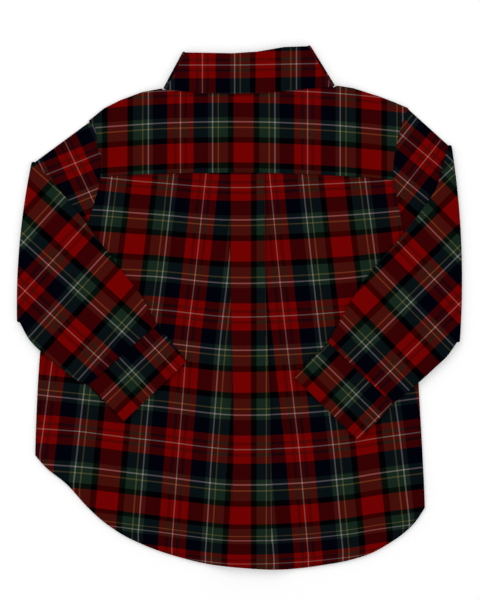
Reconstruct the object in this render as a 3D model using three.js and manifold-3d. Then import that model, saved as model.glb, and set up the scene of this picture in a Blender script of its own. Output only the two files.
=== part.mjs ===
// A toddler's long-sleeved tartan shirt, buttoned up and laid face down with both sleeves folded
// across its back. Millimetres: +Z is up from the table, +Y runs to the collar, +X is to the right
// as it lies, so the wearer's left is at -X. Every cut piece of cloth is a wall of its own.
import * as THREE from 'three';
import { mergeVertices } from 'three/addons/utils/BufferGeometryUtils.js';
import Module from 'manifold-3d';

const wasm = await Module();
wasm.setup();

// ---- cloth and stacking -------------------------------------------------------------------
const WALL = 1.0; // thickness of the cloth wall
const SEAM_GAP = 0.3; // clearance between two pieces where they are sewn
const SLACK = 0.5; // air between two layers that lie on each other
const LAYER = WALL + SLACK; // height from one layer to the next
const MID_X = 8; // centre line of neck, buttons and pleat
const MERGE_WITHIN = 1e-4; // vertices of a three.js geometry this close are one

// ---- what lifts the upper layers ------------------------------------------------------------
const BUTTON_ROOM = 2.3; // the button band stands this far off the table, on its buttons
const BAND_RISE = BUTTON_ROOM + LAYER; // the second band lies on the first
const BAND_HALF = 12.5; // half the width of the button bands where they overlap
const CREST_HALF = 18; // half width of the flat top of the ridge over the buttons
const CREST_FOOT = 36; // half width of that ridge at its foot
const NECK_HALF = 72; // half width of the raised cloth over the collar points
const NECK_FOOT = 98; // half width of it at its foot
const NECK_LOW = 84; // along Y, where the cloth starts to rise to the collar
const NECK_HIGH = 108; // along Y, where it has reached the height of the collar
const BAND_TOP = 138; // along Y, the button bands end here under the yoke
const CREST_END = 155; // along Y, the ridge has sunk to the height of the neck

// ---- body outline, as it lies ---------------------------------------------------------------
// Left edge of the back, from the yoke seam down: armhole, underarm, side seam.
const LEFT_EDGE = [
  { y: 108, x: -110.6 },
  { y: 100, x: -111.6 },
  { y: 84, x: -115.8 },
  { y: 66, x: -122.2 },
  { y: 44, x: -132 },
  { y: 26, x: -143 },
  { y: 12, x: -152 },
  { y: -35, x: -159.2 },
  { y: -90, x: -162.4 },
  { y: -118, x: -163.2 },
  { y: -170, x: -164 },
];
// Right edge of the back, the same way.
const RIGHT_EDGE = [
  { y: 108, x: 123.4 },
  { y: 100, x: 124 },
  { y: 82, x: 127.6 },
  { y: 60, x: 131.6 },
  { y: 34, x: 136 },
  { y: 8, x: 141 },
  { y: -64, x: 144 },
  { y: -122, x: 147.2 },
  { y: -160, x: 148.8 },
  { y: -200, x: 149.2 },
];
// Armhole above the yoke seam, from the shoulder down, left and right.
const LEFT_YOKE_EDGE = [
  { y: 149.5, x: -120.4 },
  { y: 142.8, x: -114.6 },
  { y: 128.4, x: -113.6 },
  { y: 120, x: -110.2 },
  { y: 108, x: -110.6 },
];
const RIGHT_YOKE_EDGE = [
  { y: 159.6, x: 135.7 },
  { y: 150, x: 131.6 },
  { y: 136, x: 127.4 },
  { y: 120, x: 124.2 },
  { y: 108, x: 123.4 },
];
// Shoulder line from the neck out to the armhole.
const LEFT_SHOULDER = [
  { x: -58.0, y: 174.8 },
  { x: -58.8, y: 173.4 },
  { x: -62, y: 175.1 },
  { x: -77.6, y: 172.4 },
  { x: -95.2, y: 166 },
  { x: -108, y: 159.6 },
  { x: -120.4, y: 149.5 },
];
const RIGHT_SHOULDER = [
  { x: 74, y: 177 },
  { x: 74.9, y: 175.6 },
  { x: 78.2, y: 177.5 },
  { x: 91.2, y: 175.6 },
  { x: 112, y: 169.2 },
  { x: 124, y: 164.6 },
  { x: 135.7, y: 159.6 },
];
// Seam between yoke and back, across the body.
const YOKE_SEAM = [
  { x: -125, y: 103.6 },
  { x: -87, y: 106.4 },
  { x: 0, y: 107.8 },
  { x: 97, y: 104.6 },
  { x: 135, y: 101 },
];
// Shirt-tail hem across the body; the garment lies a little askew.
const HEM = [
  { x: -164, y: -117.5 },
  { x: -154.4, y: -128.4 },
  { x: -138.4, y: -141.2 },
  { x: -120.8, y: -160.4 },
  { x: -106.4, y: -173.2 },
  { x: -85.6, y: -186 },
  { x: -52, y: -198.8 },
  { x: -20, y: -206 },
  { x: 35, y: -209.6 },
  { x: 74.4, y: -205.2 },
  { x: 100.8, y: -198.8 },
  { x: 124.8, y: -186 },
  { x: 140, y: -173.2 },
  { x: 149.4, y: -159.6 },
];
const FRONT_HEM_INSET = 4; // the fronts are cut this much shorter than the back

// ---- box pleat down the back ----------------------------------------------------------------
// A row per height: left and right fold as seen, cloth hidden behind each, turn of the folds.
const FULL_TURN = Math.PI;
const PLEAT = [
  { y: 108, left: -6.4, right: 19.2, underLeft: 10.2, underRight: 11.9, turn: FULL_TURN },
  { y: 28, left: -6.0, right: 19.8, underLeft: 7.4, underRight: 8.2, turn: FULL_TURN },
  { y: -30, left: -4.6, right: 22.0, underLeft: 4.6, underRight: 4.6, turn: FULL_TURN },
  { y: -92, left: -3.4, right: 24.4, underLeft: 1.0, underRight: 1.0, turn: FULL_TURN },
  { y: -130, left: -3.6, right: 24.6, underLeft: 0.4, underRight: 0.4, turn: 0.5 * FULL_TURN },
  { y: -165, left: -4.6, right: 24.8, underLeft: 0.3, underRight: 0.3, turn: 0.25 * FULL_TURN },
  { y: -212, left: -6.0, right: 25.0, underLeft: 0.3, underRight: 0.3, turn: 0.06 * FULL_TURN },
];
const FOLD_RADIUS = LAYER / 2; // a fold turns the middle of the wall at this radius

// ---- collar ---------------------------------------------------------------------------------
// Stations round the flattened neck from the wearer's left front edge over the back to the right.
// fold: top edge. seam: lower edge of the stand. free: edge of the leaf. turn: 1 under, 0 on top.
const COLLAR = [
  { foldX: 6.6, foldY: 160, seamX: 6.6, seamY: 134, freeX: -24, freeY: 118, turn: 1 },
  { foldX: -16, foldY: 170, seamX: -26, seamY: 146, freeX: -42, freeY: 138, turn: 1 },
  { foldX: -32, foldY: 187, seamX: -45, seamY: 166, freeX: -54, freeY: 159, turn: 1 },
  { foldX: -42.4, foldY: 204, seamX: -54.2, seamY: 182, freeX: -58.4, freeY: 174.2, turn: 1 },
  { foldX: -42.4, foldY: 204, seamX: -54.2, seamY: 182, freeX: -58.4, freeY: 174.2, turn: 0 },
  { foldX: -25, foldY: 203.8, seamX: -30, seamY: 180, freeX: -32, freeY: 171.4, turn: 0 },
  { foldX: -5, foldY: 203.4, seamX: -5.8, seamY: 179, freeX: -6, freeY: 171, turn: 0 },
  { foldX: 15, foldY: 204.8, seamX: 18.6, seamY: 180, freeX: 20, freeY: 171.6, turn: 0 },
  { foldX: 36, foldY: 208.4, seamX: 43, seamY: 183, freeX: 46, freeY: 174, turn: 0 },
  { foldX: 54.5, foldY: 209, seamX: 68.4, seamY: 185, freeX: 74.5, freeY: 176.4, turn: 0 },
  { foldX: 54.5, foldY: 209, seamX: 68.4, seamY: 185, freeX: 74.5, freeY: 176.4, turn: 1 },
  { foldX: 46, foldY: 190, seamX: 59, seamY: 168, freeX: 69, freeY: 160.5, turn: 1 },
  { foldX: 31, foldY: 172, seamX: 41, seamY: 148, freeX: 58, freeY: 139, turn: 1 },
  { foldX: 9.4, foldY: 160, seamX: 9.4, seamY: 134, freeX: 40, freeY: 118, turn: 1 },
];
const COLLAR_MID_Z = BUTTON_ROOM + WALL + SLACK / 2; // height of the middle of the flattened neck
const STAND_OUT = (WALL + SLACK) / 2; // middle of the stand's wall, out from that middle
const LEAF_OUT = STAND_OUT + LAYER; // middle of the leaf's wall, out from it
const LEAF_TURN_IN = 6; // how far the leaf reaches down inside to meet the stand
const STAND_LAP = 11; // the wearer's left end of the stand reaches past the centre
const STAND_CLEAR = 0.9; // the fronts keep this much further off the slanting lower edge of the stand
const SIDE_STEPS = 5; // steps round each side of the neck
const BEND_STEPS = 5; // steps round a folded edge

// ---- sleeves --------------------------------------------------------------------------------
// upper and lower: the two long edges of the sleeve tube, a row per section of the folded-over
// part, from the outer fold to the cuff seam.
const SLEEVE_HEIGHT = 2 * WALL + SLACK; // the flattened tube
const FOLD_AXIS_Z = SLEEVE_HEIGHT + SLACK / 2; // height of the axis the sleeve folds about
const FOLD_STEPS = 8; // steps round the outer fold of the sleeve
const FLAT_STEPS = 3; // sections between armhole and outer fold
const ACROSS_STEPS = 8; // steps across one layer of the tube
const ARMHOLE_CLEAR = 1.2; // the sleeve's end stands off the armhole, whose curve both follow in chords
const LEFT_SLEEVE = {
  outward: { x: -1, y: 0.08 },
  bow: 3.7,
  shoulder: { x: -121, y: 149 },
  rows: [
    { upperX: -163.4, upperY: 116.6, lowerX: -175.2, lowerY: -12 },
    { upperX: -150, upperY: 101.4, lowerX: -167.5, lowerY: -26 },
    { upperX: -131, upperY: 79, lowerX: -157, lowerY: -36.6 },
    { upperX: -111, upperY: 52.4, lowerX: -146, lowerY: -45.5 },
    { upperX: -93, upperY: 28.8, lowerX: -137, lowerY: -52.8 },
    { upperX: -77.6, upperY: 9, lowerX: -128.5, lowerY: -59 },
    { upperX: -65.6, upperY: -13.2, lowerX: -120.8, lowerY: -62 },
  ],
  cuffEnd: { upperX: -41.6, upperY: -42.8, lowerX: -92.8, lowerY: -91.6 },
};
const RIGHT_SLEEVE = {
  outward: { x: 1, y: 0.04 },
  bow: 4.5,
  shoulder: { x: 136.2, y: 159.2 },
  rows: [
    { upperX: 167.6, upperY: 130, lowerX: 174.2, lowerY: -28 },
    { upperX: 158.4, upperY: 97, lowerX: 166, lowerY: -39.5 },
    { upperX: 145.6, upperY: 77.2, lowerX: 157.5, lowerY: -47.5 },
    { upperX: 127, upperY: 53.5, lowerX: 149.5, lowerY: -55 },
    { upperX: 108.8, upperY: 33.2, lowerX: 141, lowerY: -62.5 },
    { upperX: 91, upperY: 7.5, lowerX: 132, lowerY: -70 },
    { upperX: 71.2, upperY: -27.6, lowerX: 123.2, lowerY: -77.2 },
  ],
  cuffEnd: { upperX: 44, upperY: -55.6, lowerX: 96, lowerY: -106.8 },
};

// ---- buttons --------------------------------------------------------------------------------
const BUTTON_RADIUS = 5;
const BUTTON_THICK = 2;
const BUTTON_BEVEL = 0.5;
const BUTTON_SIDES = 20;
const HOLE_RADIUS = 0.7;
const HOLE_SIDES = 6;
const HOLE_OFFSET = 1.3; // from the centre of the button, along X and along Y
const FRONT_BUTTONS = [112, 60, 8, -44, -96, -148]; // along Y
const STAND_BUTTON_Y = 147;

// ---- cloth colours: the mean of the tartan ----------------------------------------------------
const TARTAN_RED = 0x4a1214;
const BUTTON_COLOUR = 0x1c1a22;

// Smooth monotone curve through the rows of a table: the value of column `to` at column `from`.
function curve(table, from, to) {
  const rows = [...table].sort((a, b) => a[from] - b[from]);
  const n = rows.length;
  const slopes = [];
  for (let i = 0; i < n - 1; i += 1) {
    slopes.push((rows[i + 1][to] - rows[i][to]) / (rows[i + 1][from] - rows[i][from]));
  }
  const tangents = rows.map((row, i) => {
    if (i === 0) return slopes[0];
    if (i === n - 1) return slopes[n - 2];
    if (slopes[i - 1] * slopes[i] <= 0) return 0;
    return (2 * slopes[i - 1] * slopes[i]) / (slopes[i - 1] + slopes[i]);
  });
  return (value) => {
    const v = Math.min(Math.max(value, rows[0][from]), rows[n - 1][from]);
    let i = 0;
    while (i < n - 2 && v > rows[i + 1][from]) i += 1;
    const span = rows[i + 1][from] - rows[i][from];
    const t = (v - rows[i][from]) / span;
    const a = rows[i][to] * (1 + 2 * t) * (1 - t) * (1 - t);
    const b = rows[i + 1][to] * t * t * (3 - 2 * t);
    return a + b + span * (tangents[i] * t * (1 - t) * (1 - t) - tangents[i + 1] * t * t * (1 - t));
  };
}

const lerp = (a, b, t) => a + (b - a) * t;
const clamp01 = (t) => Math.min(Math.max(t, 0), 1);

// ---- how high the layers lie ------------------------------------------------------------------
const ridge = (x) => clamp01((CREST_FOOT - Math.abs(x - MID_X)) / (CREST_FOOT - CREST_HALF));

// The cloth over the collar points rises to the height of the neck.
function neckRise(x, y) {
  const across = clamp01((NECK_FOOT - Math.abs(x - MID_X)) / (NECK_FOOT - NECK_HALF));
  const along = clamp01((y - NECK_LOW) / (NECK_HIGH - NECK_LOW));
  return BUTTON_ROOM * Math.min(across, along);
}

// The wearer's left front lies on the buttons.
const lowerRise = (x, y) => Math.max(BUTTON_ROOM * ridge(x), neckRise(x, y));

// The right front, the back and the yoke lie above it; past the bands the ridge sinks to the neck.
function upperRise(x, y) {
  const sink = clamp01((y - BAND_TOP) / (CREST_END - BAND_TOP));
  return Math.max(lerp(BAND_RISE, BUTTON_ROOM, sink) * ridge(x), neckRise(x, y));
}

// ---- solids -----------------------------------------------------------------------------------
// A solid is { positions, triangles }. A wall fills the space between two equal grids of points.
// With `round` each row of the grid closes on itself, so only its first and last rows are capped.
function wall(outer, inner, round = false) {
  const rows = outer.length;
  const columns = outer[0].length;
  const across = round ? columns : columns - 1;
  const out = (i, j) => i * columns + (j % columns);
  const into = (i, j) => rows * columns + out(i, j);
  const triangles = [];
  const quad = (a, b, c, d) => triangles.push([a, b, c], [a, c, d]);
  for (let i = 0; i < rows - 1; i += 1) {
    for (let j = 0; j < across; j += 1) {
      quad(into(i, j), into(i, j + 1), into(i + 1, j + 1), into(i + 1, j));
      triangles.push([out(i + 1, j + 1), out(i, j + 1), out(i, j)]);
      triangles.push([out(i + 1, j), out(i + 1, j + 1), out(i, j)]);
    }
  }
  const last = rows - 1;
  const side = columns - 1;
  for (let j = 0; j < across; j += 1) {
    quad(out(0, j), out(0, j + 1), into(0, j + 1), into(0, j));
    quad(into(last, j), into(last, j + 1), out(last, j + 1), out(last, j));
  }
  for (let i = 0; i < last && !round; i += 1) {
    quad(out(i + 1, 0), out(i, 0), into(i, 0), into(i + 1, 0));
    quad(out(i, side), out(i + 1, side), into(i + 1, side), into(i, side));
  }
  return facingOut({ positions: [...outer.flat(), ...inner.flat()], triangles });
}

function facingOut({ positions, triangles }) {
  const point = (i) => new THREE.Vector3(...positions[i]);
  let volume = 0;
  for (const [a, b, c] of triangles) volume += point(a).dot(point(b).cross(point(c)));
  if (volume > 0) return { positions, triangles };
  return { positions, triangles: triangles.map(([a, b, c]) => [a, c, b]) };
}

function toManifold({ positions, triangles }) {
  return new wasm.Manifold(
    new wasm.Mesh({
      numProp: 3,
      vertProperties: new Float32Array(positions.flat()),
      triVerts: new Uint32Array(triangles.flat()),
    }),
  );
}

// A closed three.js geometry as a manifold solid.
function geometryManifold(source) {
  source.deleteAttribute('normal');
  source.deleteAttribute('uv');
  const merged = mergeVertices(source, MERGE_WITHIN);
  return new wasm.Manifold(
    new wasm.Mesh({
      numProp: 3,
      vertProperties: Float32Array.from(merged.attributes.position.array),
      triVerts: Uint32Array.from(merged.index.array),
    }),
  );
}

function fromManifold(solid) {
  const { vertProperties, triVerts, numProp } = solid.getMesh();
  const positions = [];
  for (let i = 0; i < vertProperties.length; i += numProp) {
    positions.push([...vertProperties.slice(i, i + 3)]);
  }
  const triangles = [];
  for (let i = 0; i < triVerts.length; i += 3) triangles.push([...triVerts.slice(i, i + 3)]);
  return { positions, triangles };
}

function named(name, { positions, triangles }, look) {
  const geometry = new THREE.BufferGeometry();
  geometry.setAttribute('position', new THREE.Float32BufferAttribute(positions.flat(), 3));
  geometry.setIndex(triangles.flat());
  geometry.computeVertexNormals();
  const mesh = new THREE.Mesh(geometry, new THREE.MeshStandardMaterial({ ...look, metalness: 0 }));
  mesh.name = name;
  return mesh;
}

const clothPiece = (name, solid) => named(name, solid, { color: TARTAN_RED, roughness: 0.9 });

// ---- flat pieces: a sheet over the layers below, cut to its outline ---------------------------
const GRID_X = [
  -180, MID_X - NECK_FOOT, MID_X - NECK_HALF, MID_X - CREST_FOOT, MID_X - CREST_HALF,
  MID_X + CREST_HALF, MID_X + CREST_FOOT, MID_X + NECK_HALF, MID_X + NECK_FOOT, 190,
];
const GRID_Y = [220, CREST_END, BAND_TOP, NECK_HIGH, NECK_LOW, 0, -110, -230];

function flatPiece(outline, level, rise) {
  const sheetAt = (z) => GRID_Y.map((y) => GRID_X.map((x) => [x, y, level + z + rise(x, y)]));
  const sheet = toManifold(wall(sheetAt(WALL), sheetAt(0)));
  const shape = new THREE.Shape(outline.map(({ x, y }) => new THREE.Vector2(x, y)));
  const cutter = new THREE.ExtrudeGeometry(shape, { depth: 4 * BAND_RISE, bevelEnabled: false });
  cutter.translate(0, 0, -WALL);
  return fromManifold(sheet.intersect(geometryManifold(cutter)));
}

// Points of a table between two values of one of its columns, with the ends worked out.
function between(table, from, to, start, end, count) {
  const value = curve(table, from, to);
  const points = [];
  for (let i = 0; i <= count; i += 1) {
    const v = lerp(start, end, i / count);
    points.push(from === 'x' ? { x: v, y: value(v) } : { x: value(v), y: v });
  }
  return points;
}

const seamPoints = (turn) => COLLAR.filter((row) => row.turn === turn);
const yokeSeam = curve(YOKE_SEAM, 'x', 'y');
const hem = curve(HEM, 'x', 'y');
const leftEdge = curve(LEFT_EDGE, 'y', 'x');
const rightEdge = curve(RIGHT_EDGE, 'y', 'x');

// Yoke: round its outline from the neck, down the right armhole, along the seam and back up.
function yoke() {
  const neck = seamPoints(0).map(({ seamX, seamY }) => ({ x: seamX, y: seamY - SEAM_GAP }));
  const seamLeft = { x: LEFT_YOKE_EDGE.at(-1).x, y: yokeSeam(LEFT_YOKE_EDGE.at(-1).x) };
  const seamRight = { x: RIGHT_YOKE_EDGE.at(-1).x, y: yokeSeam(RIGHT_YOKE_EDGE.at(-1).x) };
  const outline = [
    ...neck,
    ...RIGHT_SHOULDER,
    ...RIGHT_YOKE_EDGE.slice(1, -1),
    ...between(YOKE_SEAM, 'x', 'y', seamRight.x, seamLeft.x, 10),
    ...LEFT_YOKE_EDGE.slice(1, -1).reverse(),
    ...[...LEFT_SHOULDER].reverse(),
  ];
  return clothPiece('yoke', flatPiece(outline, LAYER, upperRise));
}

// Fronts: from the button band round the neck, shoulder, armhole, side seam and hem.
function front(name, side, bandX, rise) {
  const left = side < 0;
  const neckRows = seamPoints(1).filter(({ seamX }) => (seamX - MID_X) * side > 0);
  const neck = neckRows.map(({ seamX, seamY }) => ({ x: seamX, y: seamY - SEAM_GAP }));
  const fromCentre = left ? neck : [...neck].reverse();
  const centreY = fromCentre[0].y;
  const shoulder = left ? LEFT_SHOULDER : RIGHT_SHOULDER;
  const armhole = left ? LEFT_YOKE_EDGE : RIGHT_YOKE_EDGE;
  const edge = left ? LEFT_EDGE : RIGHT_EDGE;
  const hemEnd = left ? HEM[0] : HEM.at(-1);
  const hemStart = { x: bandX, y: hem(bandX) + FRONT_HEM_INSET };
  const hemRows = HEM.slice(1, -1).filter(({ x }) => (x - bandX) * side > 1);
  const hemInward = left ? hemRows : [...hemRows].reverse();
  const sideRows = edge.filter(({ y }) => y < armhole.at(-1).y && y > hemEnd.y + FRONT_HEM_INSET);
  const outline = [
    { x: bandX, y: centreY - STAND_CLEAR },
    ...fromCentre.map(({ x, y }) => ({ x, y: y - STAND_CLEAR })),
    ...shoulder,
    ...armhole.slice(1),
    ...sideRows,
    { x: hemEnd.x, y: hemEnd.y + FRONT_HEM_INSET },
    ...hemInward.map(({ x, y }) => ({ x, y: y + FRONT_HEM_INSET })),
    hemStart,
  ];
  return clothPiece(name, flatPiece(outline, 0, rise));
}

// ---- back with its box pleat --------------------------------------------------------------------
const BACK_ROWS = [NECK_LOW, 56, 28, 0, -30, -62, -92]; // along Y, the level sections of the back
const HEM_ROWS = [0.25, 0.5, 0.75, 1]; // sections between the last of them and the hem

// Middle line of one folded edge: up round the first turn, along the hidden cloth, round the second.
// Returned as steps { across, up, leanAcross, leanUp } for a fold that opens to +across.
function foldLine(under, turn) {
  const points = [];
  for (let k = 0; k <= BEND_STEPS; k += 1) {
    const a = (turn * k) / BEND_STEPS;
    const across = FOLD_RADIUS * Math.sin(a);
    const up = FOLD_RADIUS * (1 - Math.cos(a));
    points.push({ across, up, leanAcross: -Math.sin(a), leanUp: Math.cos(a) });
  }
  const start = {
    across: points.at(-1).across + under * Math.cos(turn),
    up: points.at(-1).up + under * Math.sin(turn),
  };
  for (let k = 0; k <= BEND_STEPS; k += 1) {
    const a = (turn * (BEND_STEPS - k)) / BEND_STEPS;
    const across = start.across + FOLD_RADIUS * (Math.sin(turn) - Math.sin(a));
    const up = start.up + FOLD_RADIUS * (Math.cos(a) - Math.cos(turn));
    points.push({ across, up, leanAcross: -Math.sin(a), leanUp: Math.cos(a) });
  }
  return points;
}

// One section of the back at the height given by rowY(x), as outer and inner points.
function backSection(rowY) {
  const edgeAt = (edge, x0) => {
    let x = x0;
    for (let k = 0; k < 12; k += 1) x = lerp(x, edge(rowY(x)), 0.7);
    return x;
  };
  const leftX = edgeAt(leftEdge, leftEdge(rowY(-140)));
  const rightX = edgeAt(rightEdge, rightEdge(rowY(130)));
  const y = rowY(MID_X);
  const pleat = (column) => curve(PLEAT, 'y', column)(y);
  const turn = pleat('turn');
  const leftFold = foldLine(pleat('underLeft'), turn);
  const rightFold = foldLine(pleat('underRight'), turn);
  const leftRoot = pleat('left') - leftFold.at(-1).across;
  const rightRoot = pleat('right') + rightFold.at(-1).across;
  const base = (x) => LAYER + WALL / 2 + upperRise(x, rowY(x));
  const flat = (x, lift = 0) => ({ x, z: base(x) + lift, leanX: 0, leanZ: 1 });
  const leftStations = [leftX, (leftX + MID_X - NECK_FOOT) / 2];
  leftStations.push(MID_X - NECK_FOOT, MID_X - NECK_HALF, MID_X - CREST_FOOT, MID_X - CREST_HALF);
  const rightStations = [MID_X + CREST_HALF, MID_X + CREST_FOOT, MID_X + NECK_HALF];
  rightStations.push(MID_X + NECK_FOOT, (rightX + MID_X + NECK_FOOT) / 2, rightX);
  const height = base(MID_X);
  const folded = (root, sign) => ({ across, up, leanAcross, leanUp }) => (
    { x: root + sign * across, z: height + up, leanX: sign * leanAcross, leanZ: leanUp }
  );
  const lift = leftFold.at(-1).up;
  const boxThird = (pleat('right') - pleat('left')) / 3;
  const middle = [
    ...leftStations.map((x) => flat(x)),
    ...leftFold.map(folded(leftRoot, 1)),
    flat(pleat('left') + boxThird, lift),
    flat(pleat('right') - boxThird, lift),
    ...[...rightFold].reverse().map(folded(rightRoot, -1)),
    ...rightStations.map((x) => flat(x)),
  ];
  const offset = (by) => middle.map(({ x, z, leanX, leanZ }) => [x + by * leanX, rowY(x), z + by * leanZ]);
  return { outer: offset(WALL / 2), inner: offset(-WALL / 2) };
}

function back() {
  const lowest = BACK_ROWS.at(-1);
  const rows = [
    (x) => yokeSeam(x) - SEAM_GAP,
    ...BACK_ROWS.map((y) => () => y),
    ...HEM_ROWS.map((t) => (x) => lerp(lowest, hem(x), t)),
  ];
  const sections = rows.map(backSection);
  return clothPiece('back', wall(sections.map((s) => s.outer), sections.map((s) => s.inner)));
}

// ---- collar leaf and stand ------------------------------------------------------------------------
// Place a point of the collar: `down` from the fold line, `out` from the middle of the flat neck,
// `toLeaf` 0 along the stand and 1 along the leaf.
function collarPoint(station, down, out, toLeaf) {
  const { foldX, foldY, seamX, seamY, freeX, freeY, cos, sin, sideX, sideY } = station;
  const stand = Math.hypot(seamX - foldX, seamY - foldY);
  const leaf = Math.hypot(freeX - foldX, freeY - foldY);
  const alongX = lerp((seamX - foldX) / stand, (freeX - foldX) / leaf, toLeaf);
  const alongY = lerp((seamY - foldY) / stand, (freeY - foldY) / leaf, toLeaf);
  return [
    foldX + alongX * down + sideX * out * sin,
    foldY + alongY * down + sideY * out * sin,
    COLLAR_MID_Z + out * cos,
  ];
}

// The rows of the collar table, with the two sides of the neck turned in steps.
function collarStations() {
  const stations = [];
  COLLAR.forEach((row, i) => {
    const previous = COLLAR[i - 1];
    if (previous && previous.turn !== row.turn) {
      const length = Math.hypot(row.freeX - row.foldX, row.freeY - row.foldY);
      const side = Math.sign(row.foldX - MID_X);
      const sideX = (side * (row.foldY - row.freeY)) / length;
      const sideY = (side * (row.freeX - row.foldX)) / length;
      for (let k = 1; k < SIDE_STEPS; k += 1) {
        const a = Math.PI * lerp(previous.turn, row.turn, k / SIDE_STEPS);
        stations.push({ ...row, cos: Math.cos(a), sin: Math.sin(a), sideX, sideY });
      }
    }
    stations.push({ ...row, cos: row.turn ? -1 : 1, sin: 0, sideX: 0, sideY: 0 });
  });
  return stations;
}

// Section of the leaf: up inside from the stand, over the fold, down outside to the free edge.
function leafSection(station) {
  const length = Math.hypot(station.freeX - station.foldX, station.freeY - station.foldY);
  const bendX = WALL / 2 + FOLD_RADIUS;
  const path = [{ down: LEAF_TURN_IN, out: STAND_OUT, leanDown: 0, leanOut: -1, toLeaf: 0 }];
  for (let k = 0; k <= BEND_STEPS; k += 1) {
    const a = (Math.PI * k) / BEND_STEPS;
    path.push({
      down: bendX - FOLD_RADIUS * Math.sin(a),
      out: STAND_OUT + FOLD_RADIUS * (1 - Math.cos(a)),
      leanDown: -Math.sin(a),
      leanOut: -Math.cos(a),
      toLeaf: k / BEND_STEPS,
    });
  }
  path.push({ down: length / 2, out: LEAF_OUT, leanDown: 0, leanOut: 1, toLeaf: 1 });
  path.push({ down: length, out: LEAF_OUT, leanDown: 0, leanOut: 1, toLeaf: 1 });
  const shifted = (by) => path.map(({ down, out, leanDown, leanOut, toLeaf }) => (
    collarPoint(station, down + by * leanDown, out + by * leanOut, toLeaf)
  ));
  return { outer: shifted(WALL / 2), inner: shifted(-WALL / 2) };
}

function collarLeaf() {
  const sections = collarStations().map(leafSection);
  return clothPiece('collar_leaf', wall(sections.map((s) => s.outer), sections.map((s) => s.inner)));
}

// The stand hangs from the leaf to the neck seam; its left end laps past the centre of the front.
function collarStand() {
  const stations = collarStations();
  const first = stations[0];
  const lapped = { ...first, foldX: MID_X + STAND_LAP, seamX: MID_X + STAND_LAP };
  const last = stations.at(-1);
  const lapEnd = MID_X + STAND_LAP + SEAM_GAP;
  const trimmed = { ...last, foldX: lapEnd, seamX: lapEnd, foldY: last.foldY + 2, seamY: last.seamY + 2 };
  const run = [lapped, ...stations.slice(0, -1), trimmed];
  const face = (out) => run.map((station) => {
    const length = Math.hypot(station.seamX - station.foldX, station.seamY - station.foldY);
    const top = LEAF_TURN_IN + SEAM_GAP;
    return [top, (top + length) / 2, length].map((down) => collarPoint(station, down, out, 0));
  });
  return clothPiece('collar_stand', wall(face(STAND_OUT + WALL / 2), face(STAND_OUT - WALL / 2)));
}

// ---- sleeves and cuffs --------------------------------------------------------------------------------
// Loop round a flattened tube: position along the section (0 lower edge, 1 upper edge) and the
// direction from the middle of the tube, as { share, out, up }.
function tubeLoop() {
  const loop = [];
  for (let k = 0; k <= ACROSS_STEPS; k += 1) loop.push({ share: k / ACROSS_STEPS, out: 0, up: -1 });
  for (let k = 1; k < BEND_STEPS; k += 1) {
    const a = (Math.PI * k) / BEND_STEPS;
    loop.push({ share: 1, out: Math.sin(a), up: -Math.cos(a) });
  }
  for (let k = 0; k <= ACROSS_STEPS; k += 1) {
    loop.push({ share: 1 - k / ACROSS_STEPS, out: 0, up: 1 });
  }
  for (let k = 1; k < BEND_STEPS; k += 1) {
    const a = (Math.PI * k) / BEND_STEPS;
    loop.push({ share: 0, out: -Math.sin(a), up: Math.cos(a) });
  }
  return loop;
}

// Points of one ring at a distance `radius` from the tube's middle. place(share, slip, height)
// gives the point on the table; the section is shortened so the outer face keeps its width.
function ring(place, width, radius) {
  const half = SLEEVE_HEIGHT / 2;
  return tubeLoop().map(({ share, out, up }) => {
    const along = half + (width - 2 * half) * share + radius * out;
    return place(along / width, half + radius * up);
  });
}

const rowLine = (row) => (share) => ({
  x: lerp(row.lowerX, row.upperX, share),
  y: lerp(row.lowerY, row.upperY, share),
});
const rowWidth = (row) => Math.hypot(row.upperX - row.lowerX, row.upperY - row.lowerY);

function sleeve(name, spec, sideEdge, yokeEdge, sign) {
  const fold = spec.rows[0];
  const foldLineAt = (share) => {
    const { x, y } = rowLine(fold)(share);
    return { x: x + sign * 4 * spec.bow * share * (1 - share), y };
  };
  // The armhole, from the underarm up to the shoulder, clear of the body by the seam gap.
  const underarm = sideEdge.find(({ y }) => y <= 12);
  const armholeRows = [
    { y: underarm.y, x: underarm.x },
    ...sideEdge.filter(({ y }) => y > underarm.y && y < 108),
    ...yokeEdge,
  ];
  const armholeX = curve(armholeRows, 'y', 'x');
  const armhole = (share) => {
    const y = lerp(underarm.y, spec.shoulder.y, share);
    return { x: armholeX(y) + sign * ARMHOLE_CLEAR, y };
  };
  const rings = [];
  const add = (place, width) => rings.push({
    outer: ring(place, width, SLEEVE_HEIGHT / 2),
    inner: ring(place, width, SLACK / 2),
  });
  for (let k = 0; k < FLAT_STEPS; k += 1) {
    const t = k / FLAT_STEPS;
    const place = (share, height) => {
      const a = armhole(share);
      const b = foldLineAt(share);
      return [lerp(a.x, b.x, t), lerp(a.y, b.y, t), height];
    };
    add(place, lerp(spec.shoulder.y - underarm.y, rowWidth(fold), t));
  }
  const size = Math.hypot(spec.outward.x, spec.outward.y);
  for (let k = 0; k <= FOLD_STEPS; k += 1) {
    const a = (Math.PI * k) / FOLD_STEPS;
    const place = (share, height) => {
      const { x, y } = foldLineAt(share);
      const reach = ((FOLD_AXIS_Z - height) * Math.sin(a)) / size;
      return [
        x + spec.outward.x * reach,
        y + spec.outward.y * reach,
        FOLD_AXIS_Z - (FOLD_AXIS_Z - height) * Math.cos(a),
      ];
    };
    add(place, rowWidth(fold));
  }
  for (const row of spec.rows.slice(1)) {
    const line = rowLine(row);
    const place = (share, height) => {
      const { x, y } = line(share);
      return [x, y, 2 * FOLD_AXIS_Z - height];
    };
    add(place, rowWidth(row));
  }
  return clothPiece(name, wall(rings.map((r) => r.outer), rings.map((r) => r.inner), true));
}

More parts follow.
